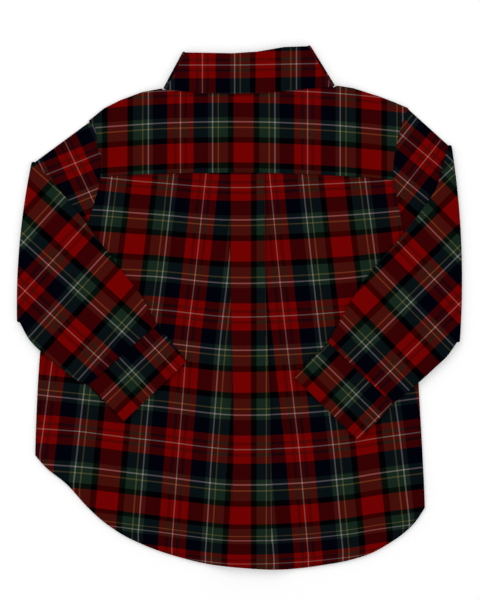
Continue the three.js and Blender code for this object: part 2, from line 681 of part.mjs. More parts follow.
// Cuff: a plain band on the end of the sleeve, lying on the back like the sleeve above it.
function cuff(name, spec) {
  const seam = spec.rows.at(-1);
  const end = spec.cuffEnd;
  const depth = Math.hypot(end.upperX - seam.upperX, end.upperY - seam.upperY);
  const rings = [SEAM_GAP / depth, 0.5, 1].map((t) => {
    const row = {
      upperX: lerp(seam.upperX, end.upperX, t),
      upperY: lerp(seam.upperY, end.upperY, t),
      lowerX: lerp(seam.lowerX, end.lowerX, t),
      lowerY: lerp(seam.lowerY, end.lowerY, t),
    };
    const line = rowLine(row);
    const place = (share, height) => {
      const { x, y } = line(share);
      return [x, y, 2 * FOLD_AXIS_Z - height];
    };
    const width = rowWidth(row);
    return { outer: ring(place, width, SLEEVE_HEIGHT / 2), inner: ring(place, width, SLACK / 2) };
  });
  return clothPiece(name, wall(rings.map((r) => r.outer), rings.map((r) => r.inner), true));
}

// ---- buttons ---------------------------------------------------------------------------------------------
// Four-hole button with a bevelled rim, its face to the table.
function button(name, y) {
  const rim = BUTTON_RADIUS - BUTTON_BEVEL;
  const profile = [
    new THREE.Vector2(0, 0),
    new THREE.Vector2(rim, 0),
    new THREE.Vector2(BUTTON_RADIUS, BUTTON_BEVEL),
    new THREE.Vector2(BUTTON_RADIUS, BUTTON_THICK - BUTTON_BEVEL),
    new THREE.Vector2(rim, BUTTON_THICK),
    new THREE.Vector2(0, BUTTON_THICK),
  ];
  let solid = geometryManifold(new THREE.LatheGeometry(profile, BUTTON_SIDES));
  for (const [signX, signY] of [[1, 1], [1, -1], [-1, 1], [-1, -1]]) {
    const hole = new THREE.CylinderGeometry(HOLE_RADIUS, HOLE_RADIUS, 2 * BUTTON_THICK, HOLE_SIDES);
    hole.translate(signX * HOLE_OFFSET, BUTTON_THICK / 2, signY * HOLE_OFFSET);
    solid = solid.subtract(geometryManifold(hole));
  }
  // The lathe stands along Y: lay it flat, face to the table.
  const flat = solid.rotate([90, 0, 0]).translate([MID_X, y, 0]);
  return named(name, fromManifold(flat), { color: BUTTON_COLOUR, roughness: 0.35 });
}

// ---- the shirt -----------------------------------------------------------------------------------------------
const shirt = new THREE.Group();
shirt.name = 'toddler_tartan_shirt';
shirt.add(front('front_left', -1, MID_X + BAND_HALF, lowerRise));
shirt.add(front('front_right', 1, MID_X - BAND_HALF, upperRise));
shirt.add(yoke());
shirt.add(back());
shirt.add(collarLeaf());
shirt.add(collarStand());
shirt.add(sleeve('sleeve_left', LEFT_SLEEVE, LEFT_EDGE, LEFT_YOKE_EDGE, -1));
shirt.add(sleeve('sleeve_right', RIGHT_SLEEVE, RIGHT_EDGE, RIGHT_YOKE_EDGE, 1));
shirt.add(cuff('cuff_left', LEFT_SLEEVE));
shirt.add(cuff('cuff_right', RIGHT_SLEEVE));
shirt.add(button('button_collar', STAND_BUTTON_Y));
FRONT_BUTTONS.forEach((y, i) => shirt.add(button(`button_front_${i + 1}`, y)));

// Set the bounding box centre over the origin, with the table at Z = 0.
const box = new THREE.Box3().setFromObject(shirt);
const centre = box.getCenter(new THREE.Vector3());
shirt.position.set(-centre.x, -centre.y, -box.min.z);
shirt.updateMatrixWorld(true);

export default shirt;
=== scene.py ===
import math
import bpy
import numpy as np
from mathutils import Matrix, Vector


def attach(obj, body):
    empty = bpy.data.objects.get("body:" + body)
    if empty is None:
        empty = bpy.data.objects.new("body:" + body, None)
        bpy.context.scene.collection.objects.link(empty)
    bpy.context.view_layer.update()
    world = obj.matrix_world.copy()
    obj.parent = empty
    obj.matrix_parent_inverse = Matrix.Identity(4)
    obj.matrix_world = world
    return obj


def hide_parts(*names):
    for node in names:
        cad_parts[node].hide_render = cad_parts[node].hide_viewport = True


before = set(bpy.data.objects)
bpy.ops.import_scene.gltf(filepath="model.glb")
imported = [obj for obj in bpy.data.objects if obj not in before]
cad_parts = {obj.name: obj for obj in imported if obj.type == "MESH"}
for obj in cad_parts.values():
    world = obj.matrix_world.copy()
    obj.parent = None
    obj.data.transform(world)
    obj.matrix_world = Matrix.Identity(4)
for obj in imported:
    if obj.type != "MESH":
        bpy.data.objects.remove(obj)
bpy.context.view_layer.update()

# ---- camera, light and floor --------------------------------------------------------------------
# The shirt lies face down on a white table and is seen from straight above. Large soft lights
# keep its colours flat and even, and the table takes only a faint shadow.
scene = bpy.context.scene
scene.view_settings.view_transform = "Standard"
camera = bpy.data.objects.new("camera", bpy.data.cameras.new("camera"))
scene.collection.objects.link(camera)
camera.data.lens = 100
camera.location = (0.0008, 0.006, 1.337)
scene.camera = camera

world = bpy.data.worlds.new("studio")
world.use_nodes = True
world.node_tree.nodes["Background"].inputs["Color"].default_value = (1, 1, 1, 1)
world.node_tree.nodes["Background"].inputs["Strength"].default_value = 0.68
scene.world = world


def area_light(name, at, size, power):
    light = bpy.data.lights.new(name, "AREA")
    light.size, light.energy = size, power
    lamp = bpy.data.objects.new(name, light)
    lamp.location = at
    lamp.rotation_euler = (-Vector(at)).to_track_quat("-Z", "Y").to_euler()
    scene.collection.objects.link(lamp)


area_light("key_light", (-0.5, 0.9, 1.1), 0.9, 5.5)
area_light("fill_light", (0.8, -0.5, 1.2), 1.2, 2.0)

floor_material = bpy.data.materials.new("table_top")
floor_material.use_nodes = True
nodes, links = floor_material.node_tree.nodes, floor_material.node_tree.links
shader = nodes["Principled BSDF"]
shader.inputs["Base Color"].default_value = (0.9, 0.9, 0.9, 1)
shader.inputs["Roughness"].default_value = 0.9
shader.inputs["Specular IOR Level"].default_value = 0.0
shader.inputs["Emission Color"].default_value = (1, 1, 1, 1)
path = nodes.new("ShaderNodeLightPath")
strength = nodes.new("ShaderNodeMath")
strength.operation = "MULTIPLY"
strength.inputs[1].default_value = 0.22
links.new(path.outputs["Is Camera Ray"], strength.inputs[0])
links.new(strength.outputs["Value"], shader.inputs["Emission Strength"])


def mesh_object(name, points, faces, material, uv=None):
    """Object from points (n, 3) in metres and an (m, 4) array of corners; uv is given per point."""
    mesh = bpy.data.meshes.new(name)
    mesh.from_pydata(points.tolist(), [], faces.tolist())
    if uv is not None:
        layer = mesh.uv_layers.new(name="weave")
        corners = np.empty(len(mesh.loops), dtype=np.int32)
        mesh.loops.foreach_get("vertex_index", corners)
        layer.data.foreach_set("uv", uv[corners].astype(np.float32).ravel())
    mesh.polygons.foreach_set("use_smooth", np.ones(len(mesh.polygons), dtype=bool))
    mesh.materials.append(material)
    mesh.update()
    made = bpy.data.objects.new(name, mesh)
    scene.collection.objects.link(made)
    return made


TABLE_HALF = 3.0  # m
floor_points = TABLE_HALF * np.array([[-1, -1, 0], [1, -1, 0], [1, 1, 0], [-1, 1, 0]])
floor = mesh_object("table_top", floor_points, np.array([[0, 1, 2, 3]]), floor_material)

# ---- tartan cloth -------------------------------------------------------------------------------
# Brushed cotton twill woven in a red tartan: the same striping in warp and weft, so each crossing
# shows half of each yarn's colour. It mirrors about the middle of the red and about a white line.
HALF_SETT = 50.4  # mm from the middle of the plain red band to the white line of the other one
SETT = [
    # share of the half sett where the stripe starts, its yarn colour
    (0.000, (0.460, 0.004, 0.004)),  # red
    (0.156, (0.000, 0.000, 0.000)),  # black
    (0.243, (0.110, 0.172, 0.138)),  # green
    (0.389, (0.420, 0.390, 0.230)),  # thin yellow line
    (0.407, (0.110, 0.172, 0.138)),  # green
    (0.477, (0.620, 0.570, 0.560)),  # thin white line
    (0.500, (0.110, 0.172, 0.138)),  # green
    (0.560, (0.008, 0.012, 0.072)),  # navy
    (0.790, (0.460, 0.004, 0.004)),  # red
    (0.893, (0.280, 0.075, 0.060)),  # thin dark stripe
    (0.938, (0.460, 0.004, 0.004)),  # red
    (0.990, (0.660, 0.540, 0.500)),  # white line in the middle
]


def stripes_group():
    """Node group: a place across the yarns, in half setts, gives the colour of the yarn there."""
    group = bpy.data.node_groups.new("tartan_stripes", "ShaderNodeTree")
    group.interface.new_socket("Place", in_out="INPUT", socket_type="NodeSocketFloat")
    group.interface.new_socket("Yarn", in_out="OUTPUT", socket_type="NodeSocketColor")
    start, end = group.nodes.new("NodeGroupInput"), group.nodes.new("NodeGroupOutput")
    mirror = group.nodes.new("ShaderNodeMath")
    mirror.operation = "PINGPONG"
    mirror.inputs[1].default_value = 1.0
    ramp = group.nodes.new("ShaderNodeValToRGB")
    ramp.color_ramp.interpolation = "CONSTANT"
    ramp.color_ramp.elements.remove(ramp.color_ramp.elements[1])
    for place, colour in SETT:
        first = place == 0
        element = ramp.color_ramp.elements[0] if first else ramp.color_ramp.elements.new(place)
        element.position, element.color = place, (*colour, 1)
    group.links.new(start.outputs["Place"], mirror.inputs[0])
    group.links.new(mirror.outputs["Value"], ramp.inputs["Fac"])
    group.links.new(ramp.outputs["Color"], end.inputs["Yarn"])
    return group


def tartan_material():
    material = bpy.data.materials.new("tartan_twill")
    material.use_nodes = True
    nodes, links = material.node_tree.nodes, material.node_tree.links
    shader = nodes["Principled BSDF"]
    shader.inputs["Roughness"].default_value = 0.92
    shader.inputs["Specular IOR Level"].default_value = 0.02
    weave = nodes.new("ShaderNodeUVMap")
    weave.uv_map = "weave"
    axes = nodes.new("ShaderNodeSeparateXYZ")
    links.new(weave.outputs["UV"], axes.inputs[0])
    stripes = stripes_group()
    yarns = []
    for axis in "XY":
        band = nodes.new("ShaderNodeGroup")
        band.node_tree = stripes
        links.new(axes.outputs[axis], band.inputs["Place"])
        yarns.append(band)
    cloth = nodes.new("ShaderNodeMix")
    cloth.data_type = "RGBA"
    cloth.inputs["Factor"].default_value = 0.5
    links.new(yarns[0].outputs["Yarn"], cloth.inputs["A"])
    links.new(yarns[1].outputs["Yarn"], cloth.inputs["B"])
    # The yarn colours are mixed as the eye reads them and then turned to light.
    light = nodes.new("ShaderNodeGamma")
    light.inputs["Gamma"].default_value = 2.2
    links.new(cloth.outputs["Result"], light.inputs["Color"])
    # Slubs: the brushed yarns take the dye a little unevenly.
    slub = nodes.new("ShaderNodeTexNoise")
    slub.inputs["Scale"].default_value = 60.0
    slub.inputs["Detail"].default_value = 4.0
    links.new(weave.outputs["UV"], slub.inputs["Vector"])
    shade = nodes.new("ShaderNodeMapRange")
    shade.inputs["To Min"].default_value = 0.86
    shade.inputs["To Max"].default_value = 1.14
    links.new(slub.outputs["Fac"], shade.inputs["Value"])
    worn = nodes.new("ShaderNodeMix")
    worn.data_type, worn.blend_type = "RGBA", "MULTIPLY"
    worn.inputs["Factor"].default_value = 1.0
    links.new(light.outputs["Color"], worn.inputs["A"])
    links.new(shade.outputs["Result"], worn.inputs["B"])
    links.new(worn.outputs["Result"], shader.inputs["Base Color"])
    # The diagonal rib of the twill, about 1.2 mm from rib to rib.
    rib = nodes.new("ShaderNodeTexWave")
    rib.wave_type, rib.bands_direction = "BANDS", "DIAGONAL"
    rib.inputs["Scale"].default_value = 18.0
    links.new(weave.outputs["UV"], rib.inputs["Vector"])
    bump = nodes.new("ShaderNodeBump")
    bump.inputs["Strength"].default_value = 0.25
    bump.inputs["Distance"].default_value = 0.0002
    links.new(rib.outputs["Fac"], bump.inputs["Height"])
    links.new(bump.outputs["Normal"], shader.inputs["Normal"])
    return material


tartan = tartan_material()

# ---- the body: how the flat layers lie ----------------------------------------------------------
# Two fronts, yoke and back lie one on the other, all in millimetres. The buttons under the bands
# and the flattened neck lift the layers above them; the cloth slopes down beside them.
CLOTH = 0.7  # thickness of the cloth
WALL = 1.0  # room kept for the cloth of one layer
LAYER = 1.5  # from one layer to the next, with the air between them
MID_X = 8.0  # centre line of neck, buttons and pleat
BUTTON_ROOM = 2.3  # the first button band lies this high, on its buttons
BAND_RISE = 3.8  # the second band lies on the first
BAND_HALF = 12.5  # half width of the bands where they overlap
CREST_HALF, CREST_FOOT = 18, 36  # half width of the ridge over the bands, at its top and foot
NECK_HALF, NECK_FOOT = 72, 98  # half width of the raised cloth at the neck, at its top and foot
NECK_LOW, NECK_HIGH = 84, 108  # along Y, where the cloth rises to the neck
BAND_TOP, CREST_END = 138, 155  # along Y, where the ridge sinks to the height of the neck


def curve(table, value, column=1):
    """Smooth monotone curve through the rows of a table sorted by its first column: the value of
    another column, held at the ends. Cubic between the rows with harmonic mean slopes."""
    rows = np.array(sorted(table), dtype=float)
    x, y = rows[:, 0], rows[:, column]
    slope = np.diff(y) / np.diff(x)
    tangent = np.empty(len(x))
    tangent[0], tangent[-1] = slope[0], slope[-1]
    product = slope[:-1] * slope[1:]
    total = np.where(slope[:-1] + slope[1:] == 0, 1, slope[:-1] + slope[1:])
    tangent[1:-1] = np.where(product > 0, 2 * product / total, 0)
    v = np.clip(value, x[0], x[-1])
    i = np.clip(np.searchsorted(x, v, side="right") - 1, 0, len(x) - 2)
    span = x[i + 1] - x[i]
    t = (v - x[i]) / span
    a = y[i] * (1 + 2 * t) * (1 - t) ** 2 + y[i + 1] * t * t * (3 - 2 * t)
    return a + span * (tangent[i] * t * (1 - t) ** 2 - tangent[i + 1] * t * t * (1 - t))


def ridge(x):
    """One over the bands, falling in a straight line to nothing at the ridge's foot."""
    return np.clip((CREST_FOOT - np.abs(x - MID_X)) / (CREST_FOOT - CREST_HALF), 0, 1)


def neck_rise(x, y):
    """Height of the cloth over the neck: the lesser of a slope across and a slope along."""
    across = np.clip((NECK_FOOT - np.abs(x - MID_X)) / (NECK_FOOT - NECK_HALF), 0, 1)
    along = np.clip((y - NECK_LOW) / (NECK_HIGH - NECK_LOW), 0, 1)
    return BUTTON_ROOM * np.minimum(across, along)


def lower_rise(x, y):
    """Rise of the wearer's left front, which lies on the buttons."""
    return np.maximum(BUTTON_ROOM * ridge(x), neck_rise(x, y))


def upper_rise(x, y):
    """Rise of everything above it, on both bands."""
    sink = np.clip((y - BAND_TOP) / (CREST_END - BAND_TOP), 0, 1)
    crest = BAND_RISE - (BAND_RISE - BUTTON_ROOM) * sink
    return np.maximum(crest * ridge(x), neck_rise(x, y))


def shell(name, middle, normal, uv, round_rows=False):
    """Closed cloth shell about a grid of middle points (rows, columns, 3) in mm: half the thickness
    out along the normals and half in, joined round the edges. With round_rows every row closes on
    itself and uv has one more column than the grid. Faces are turned outward."""
    rows, columns = middle.shape[:2]
    if round_rows:
        middle = np.concatenate([middle, middle[:, :1]], axis=1)
        normal = np.concatenate([normal, normal[:, :1]], axis=1)
        columns += 1
    outer, inner = middle + normal * CLOTH / 2, middle - normal * CLOTH / 2
    points = np.concatenate([outer.reshape(-1, 3), inner.reshape(-1, 3)]) / 1000
    index = np.arange(rows * columns).reshape(rows, columns)
    a, b, c, d = index[:-1, :-1], index[:-1, 1:], index[1:, 1:], index[1:, :-1]
    top = np.stack([a, b, c, d], axis=-1).reshape(-1, 4)
    under = np.stack([a, d, c, b], axis=-1).reshape(-1, 4) + rows * columns
    edges = [index[0, ::-1], index[-1, :]]
    if not round_rows:
        edges += [index[:, 0], index[::-1, -1]]
    lower = rows * columns
    rims = [np.stack([e[1:], e[:-1], e[:-1] + lower, e[1:] + lower], axis=-1) for e in edges]
    faces = np.concatenate([top, under, *rims])
    p = points[faces]
    volume = np.einsum("ij,ij->i", p[:, 0], np.cross(p[:, 1], p[:, 2])).sum()
    volume += np.einsum("ij,ij->i", p[:, 0], np.cross(p[:, 2], p[:, 3])).sum()
    if volume < 0:
        faces = faces[:, ::-1]
    flat_uv = uv.reshape(-1, 2)
    made = mesh_object(name + "_cloth", points, faces, tartan, np.concatenate([flat_uv, flat_uv]))
    if round_rows:
        weld = made.modifiers.new("weld", "WELD")
        weld.merge_threshold = 1e-6
    return made


def grid_normals(middle, round_rows=False):
    """Unit normals of a grid from the differences of its neighbours along rows and columns."""
    if round_rows:
        along = np.roll(middle, -1, axis=1) - np.roll(middle, 1, axis=1)
    else:
        along = np.gradient(middle, axis=1)
    down = np.gradient(middle, axis=0)
    normal = np.cross(along, down)
    return normal / np.maximum(np.linalg.norm(normal, axis=-1, keepdims=True), 1e-9)


def ripple(x, y, creases):
    """Soft troughs and ridges, given one by one: each crease is (x, y, angle in degrees, half length,
    half width, height), a bell across its line that fades along it."""
    height = np.zeros_like(x)
    for at_x, at_y, angle, length, width, rise in creases:
        c, s = math.cos(math.radians(angle)), math.sin(math.radians(angle))
        along = (x - at_x) * c + (y - at_y) * s
        across = (y - at_y) * c - (x - at_x) * s
        height += rise * np.exp(-((along / length) ** 2) - (across / width) ** 2)
    return height


def sew(piece, node, **cut):
    """Joins a cloth piece to the shirt in place of its CAD node. The keywords in cut, how it was cut,
    are not used.
    """
    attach(piece, "root")
    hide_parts(node)


FRONTS = ["front_left_cloth", "front_right_cloth"]
# Outline of the body, from the hem up each side seam and armhole: height and x.
LEFT_EDGE = [(-170, -164), (-118, -163.2), (-90, -162.4), (-35, -159.2), (12, -152), (26, -143),
             (44, -132), (66, -122.2), (84, -115.8), (100, -111.6), (108, -110.6), (120, -110.2),
             (128.4, -113.6), (142.8, -114.6), (149.5, -120.4)]
RIGHT_EDGE = [(-200, 149.2), (-160, 148.8), (-122, 147.2), (-64, 144), (8, 141), (34, 136),
              (60, 131.6), (82, 127.6), (100, 124), (108, 123.4), (120, 124.2), (136, 127.4),
              (150, 131.6), (159.6, 135.7)]
# Seam under the yoke and shirt-tail hem: x and height.
YOKE_SEAM = [(-125, 103.6), (-87, 106.4), (0, 107.8), (97, 104.6), (135, 101)]
HEM = [(-164, -117.5), (-154.4, -128.4), (-138.4, -141.2), (-120.8, -160.4), (-106.4, -173.2),
       (-85.6, -186), (-52, -198.8), (-20, -206), (35, -209.6), (74.4, -205.2), (100.8, -198.8),
       (124.8, -186), (140, -173.2), (149.4, -159.6)]

# ---- back ---------------------------------------------------------------------------------------
# The back panel, about 335 by 318 mm flat, hangs from the yoke with an inverted pair of folds that
# makes a box pleat down the middle; the folds open towards the shirt-tail hem.
PLEAT = [
    # height, left fold, right fold, cloth hidden at the left and at the right, turn of the folds
    (108, -6.4, 19.2, 10.2, 11.9, 1.0), (28, -6.0, 19.8, 7.4, 8.2, 1.0),
    (-30, -4.6, 22.0, 4.6, 4.6, 1.0), (-92, -3.4, 24.4, 1.0, 1.0, 1.0),
    (-130, -3.6, 24.6, 0.4, 0.4, 0.5), (-165, -4.6, 24.8, 0.3, 0.3, 0.25),
    (-212, -6.0, 25.0, 0.3, 0.3, 0.06),
]
FOLD_RADIUS = 0.75
BOX_MIDDLE = 1.6  # x of the red middle on the box
BACK_ROWS, PANEL_COLUMNS, BOX_COLUMNS = 110, 70, 16
EDGE_TRIES, EDGE_STEP = 12, 0.7  # how the ends of a slanting row are found on the side seams
FOLD_MARGIN = 0.5  # the panels' even columns stop this far from the folds
BOX_MARGIN = 0.4
LEAST_TURN = 0.02  # the folds never open quite flat
PLEAT_CALM = 26  # creases die out this near the pleat
SEAM_CALM = 0.03  # and in this share of the length under the yoke
SAG_FROM, SAG_SPAN = 100, 120  # heights between which one row of the sag table passes to the next
# Where the weft's own middles lie down the back: height at the centre, count of half setts.
BACK_WEFT = [(-220, -3.415), (-166.4, -2), (-113.2, -1), (-59.6, 0), (-7.6, 1), (44.8, 2),
             (95.6, 3), (146, 4)]
# How the yarns sag across: x, sag at the top, in the middle and at the bottom.
BACK_SAG = [(-165, -9, -9, -16.5), (-123, -9, -7, -13.5), (-75, -5, -6.5, -7.8), (0, 0, 0, 0),
            (3, 0, 0, 0), (40, -1.8, -1.0, -0.6), (86, -4, -4.5, -4.6), (110, -5.4, -8.2, -8.5),
            (150, -9, -14, -14)]
# The warp at the left and right of the box: height, x of the white line that the panel mirrors
# about, and how wide one half sett is there.
BACK_LEFT_WARP = [(-200, -53.8, 52.8), (-113, -47.9, 52.0), (-81, -45.4, 51.7), (-34, -41.9, 51.6),
                  (22, -35.4, 51.1), (107, -26.4, 50.6)]
BACK_RIGHT_WARP = [(-200, 55.6, 54.2), (-113, 48, 53.8), (-84, 44.7, 53.7), (-34, 39, 53.3),
                   (19, 33, 52.9), (107, 24.4, 51.3)]
# Creases: x, y, angle, half length, half width, height.
BACK_CREASES = [(-60, 60, 78, 60, 9, 0.5), (-95, 20, 62, 50, 8, -0.4), (60, 50, 96, 60, 10, 0.4),
                (95, -60, 84, 60, 12, 0.5), (-80, -110, 88, 50, 12, 0.5), (-20, -150, 92, 50, 9, 0.5),
                (45, -150, 86, 50, 9, 0.5), (-120, -90, 75, 40, 9, -0.4), (120, -110, 95, 45, 10, -0.4)]


def fold_line(under, turn, steps=6):
    """Middle line of one fold, as across, up and the lean of the cloth there: round the first turn,
    along the hidden cloth, back round the second."""
    a = np.linspace(0, turn, steps)
    first = np.stack([FOLD_RADIUS * np.sin(a), FOLD_RADIUS * (1 - np.cos(a)),
                      -np.sin(a), np.cos(a)], axis=1)
    start = first[-1, :2] + under * np.array([math.cos(turn), math.sin(turn)])
    b = a[::-1]
    second = np.stack([start[0] + FOLD_RADIUS * (math.sin(turn) - np.sin(b)),
                       start[1] + FOLD_RADIUS * (np.cos(b) - math.cos(turn)),
                       -np.sin(b), np.cos(b)], axis=1)
    return np.concatenate([first, second])


def row_y(x, t):
    """Height of a row of the back at x: from the yoke seam (t = 0) to the hem (t = 1)."""
    top = curve(YOKE_SEAM, x) - 0.3
    return top + (curve(HEM, x) - top) * t


def row_end(edge, start, t):
    """x where a row meets a side seam, found by stepping towards the seam at the row's height."""
    x = start
    for _ in range(EDGE_TRIES):
        x += EDGE_STEP * (float(curve(edge, row_y(x, t))) - x)
    return x


def folded(root, sign, fold, base):
    """Stations x, z and lean of one fold that opens to the side given by sign."""
    return np.stack([root + sign * fold[:, 0], base + fold[:, 1], sign * fold[:, 2], fold[:, 3]], axis=1)


def level(xs, t, lift=0.0):
    """Stations x, z and lean of cloth that lies level, lifted over the layers below."""
    z = LAYER + WALL / 2 + upper_rise(xs, row_y(xs, t)) + lift
    return np.stack([xs, z, np.zeros(len(xs)), np.ones(len(xs))], axis=1)


def back_row(t):
    """One row of the back, from the left side seam to the root of the left fold, up through it,
    across the box, down through the right fold and on to the right side seam. Gives x, y, z, the
    lean of the cloth across and up, and the weave. The warp counts half setts from the white line
    of the side panels, and from the plain red middle on the box."""
    y_mid = float(row_y(MID_X, t))
    left, right, under_l, under_r, turn = [float(curve(PLEAT, y_mid, k)) for k in range(1, 6)]
    turn = max(turn * math.pi, LEAST_TURN)
    fold_l, fold_r = fold_line(under_l, turn), fold_line(under_r, turn)
    root_l, root_r = left - fold_l[-1, 0], right + fold_r[-1, 0]
    base = LAYER + WALL / 2 + float(upper_rise(MID_X, y_mid))
    xs_l = np.linspace(row_end(LEFT_EDGE, -150.0, t), root_l - FOLD_MARGIN, PANEL_COLUMNS)
    xs_box = np.linspace(left + BOX_MARGIN, right - BOX_MARGIN, BOX_COLUMNS)
    xs_r = np.linspace(root_r + FOLD_MARGIN, row_end(RIGHT_EDGE, 140.0, t), PANEL_COLUMNS)
    line = np.concatenate([
        level(xs_l, t), folded(root_l, 1, fold_l, base), level(xs_box, t, fold_l[-1, 1]),
        folded(root_r, -1, fold_r[::-1], base), level(xs_r, t),
    ])
    x, y = line[:, 0], row_y(line[:, 0], t)
    calm = (1 - np.exp(-((x - MID_X) / PLEAT_CALM) ** 2)) * (1 - np.exp(-((t / SEAM_CALM) ** 2)))
    z = line[:, 1] + calm * ripple(x, y, BACK_CREASES)

    white_l, wide_l = (float(curve(BACK_LEFT_WARP, y_mid, k)) for k in (1, 2))
    white_r, wide_r = (float(curve(BACK_RIGHT_WARP, y_mid, k)) for k in (1, 2))
    u_l, u_r = -1 + (xs_l - white_l) / wide_l, 1 + (xs_r - white_r) / wide_r
    u_box = (xs_box - BOX_MIDDLE) / HALF_SETT
    u = np.concatenate([
        u_l, np.linspace(u_l[-1], u_box[0], len(fold_l)), u_box,
        np.linspace(u_box[-1], u_r[0], len(fold_r)), u_r,
    ])
    depth = np.clip((SAG_FROM - y_mid) / SAG_SPAN, 0, 2)
    top, middle, low = (curve(BACK_SAG, x, k) for k in (1, 2, 3))
    sag = np.where(depth < 1, top + (middle - top) * depth, middle + (low - middle) * (depth - 1))
    v = curve(BACK_WEFT, y + sag)
    return np.stack([x, y, z, line[:, 2], 0 * x, line[:, 3], u, v], axis=1)


back_grid = np.array([back_row(t) for t in np.linspace(0, 1, BACK_ROWS)])
back = shell("back", back_grid[..., 0:3], back_grid[..., 3:6], back_grid[..., 6:8])
sew(back, "back", flat=(0.335, 0.318), held="laid", rests_on=FRONTS, area=0.0928)

# ---- yoke ---------------------------------------------------------------------------------------
# The yoke covers the shoulders, one layer of the same twill about 256 by 83 mm flat. It is sewn to
# the back along the seam over the pleat, to the sleeves at its ends and to the collar stand.
# Edges from left to right, x and height: neck, left shoulder, right shoulder.
NECK_BACK = [(-58, 174.8), (-54.2, 181.7), (-30, 179.7), (-5.8, 178.7), (18.6, 179.7), (43, 182.7),
             (68.4, 184.7), (74, 177)]
LEFT_SHOULDER = [(-120.4, 149.5), (-108, 159.6), (-95.2, 166), (-77.6, 172.4), (-62, 175.1),
                 (-58.8, 173.4), (-58, 174.8)]
RIGHT_SHOULDER = [(74, 177), (74.9, 175.6), (78.2, 177.5), (91.2, 175.6), (112, 169.2), (124, 164.6),
                  (135.7, 159.6)]
YOKE_CREASES = [(-50, 140, 4, 30, 7, 0.45), (60, 138, -8, 36, 8, 0.4), (100, 130, 70, 20, 6, 0.4),
                (-95, 130, 100, 18, 6, 0.4)]


BODY_EDGE_PAST = 60  # a side further out than this follows the side seam and the armhole
EDGE_ROUNDS = 6  # rounds that settle the corners of a grid on the edges
YOKE_WARP_X = 3.6  # the red middle of the warp over the box
YOKE_WEFT_X, YOKE_WEFT_Y, YOKE_ARCH = -8, 123.8, 0.0004  # the weft lines arch about this point
YOKE_RIGHT_STRETCH = 1.016  # the right of the yoke is pulled this much wider


def broken_line(points, x):
    """Height at x of straight lines from point to point."""
    rows = np.array(points, dtype=float)
    return np.interp(x, rows[:, 0], rows[:, 1])


def flat_piece(name, top, bottom, sides, base, rise, weave, creases=()):
    """A sheet between a lower and an upper line across, on the layers below it. Its columns are
    spread evenly from side to side; a side that is the body's edge follows the edge tables, so
    the corners of the grid slide along the armholes and side seams."""
    left_x, right_x = sides
    s = np.linspace(0, 1, 150)[None, :]
    t = np.linspace(0, 1, 60)[:, None]
    x = left_x + (right_x - left_x) * s + 0 * t
    for _ in range(EDGE_ROUNDS):
        y = top(x) + (bottom(x) - top(x)) * t
        a, b = left_x + 0 * y, right_x + 0 * y
        if left_x < -BODY_EDGE_PAST:
            a = np.maximum(curve(LEFT_EDGE, y), left_x)
        if right_x > BODY_EDGE_PAST:
            b = np.minimum(curve(RIGHT_EDGE, y), right_x)
        x = a + (b - a) * s
    y = top(x) + (bottom(x) - top(x)) * t
    z = base + WALL / 2 + rise(x, y) + ripple(x, y, creases)
    up = np.zeros((*x.shape, 3))
    up[..., 2] = 1
    return shell(name, np.stack([x, y, z], axis=-1), up, weave(x, y))


def yoke_weave(x, y):
    """Warp counted from the red middle over the box; weft from the red band across the yoke, the
    lines arching a little at the centre."""
    wide = np.where(x < YOKE_WARP_X, HALF_SETT, YOKE_RIGHT_STRETCH * HALF_SETT)
    arch = YOKE_ARCH * (x - YOKE_WEFT_X) ** 2
    return np.stack([(x - YOKE_WARP_X) / wide, (y - YOKE_WEFT_Y + arch) / HALF_SETT], axis=-1)


def yoke_top(x):
    return broken_line(LEFT_SHOULDER + NECK_BACK[1:-1] + RIGHT_SHOULDER, x)


def yoke_bottom(x):
    return curve(YOKE_SEAM, x)


yoke_sides = (LEFT_SHOULDER[0][0], RIGHT_SHOULDER[-1][0])
yoke = flat_piece("yoke", yoke_top, yoke_bottom, yoke_sides, LAYER, upper_rise, yoke_weave, YOKE_CREASES)
sew(yoke, "yoke", flat=(0.256, 0.083), held="laid", rests_on=FRONTS, area=0.0168)

# ---- fronts -------------------------------------------------------------------------------------
# The two fronts are cut from shoulder to hem, each with its button band turned on its own edge. They
# lie face down on the table and overlap in the middle over the buttons, the wearer's right on top.
FRONT_HEM_INSET = 4  # the fronts are cut this much shorter than the back
FRONT_WEFT_Y = 95
NECK_FRONT = [(-58.0, 174.8), (-54.2, 180.8), (-45, 164.8), (-26, 144.8), (6.6, 132.8), (9.4, 132.8),
              (41, 146.8), (59, 166.8), (68.4, 183.8), (74, 177)]


def front_top(x):
    return broken_line(LEFT_SHOULDER + NECK_FRONT[1:-1] + RIGHT_SHOULDER, x)


def front_bottom(x):
    return curve(HEM, x) + FRONT_HEM_INSET


def front_weave(x, y):
    """Warp and weft run straight, counted from the middle of the bands."""
    return np.stack([(x - MID_X) / HALF_SETT, (y - FRONT_WEFT_Y) / HALF_SETT], axis=-1)


front_sides = {"left": (-164, MID_X + BAND_HALF), "right": (MID_X - BAND_HALF, 149)}
front_left = flat_piece("front_left", front_top, front_bottom, front_sides["left"], 0.0,
                        lower_rise, front_weave)
front_right = flat_piece("front_right", front_top, front_bottom, front_sides["right"], 0.0,
                         upper_rise, front_weave)
sew(front_left, "front_left", flat=(0.185, 0.386), held="laid", rests_on=[floor], area=0.0550)
sew(front_right, "front_right", flat=(0.154, 0.389), held="laid", rests_on=[floor], area=0.0509)

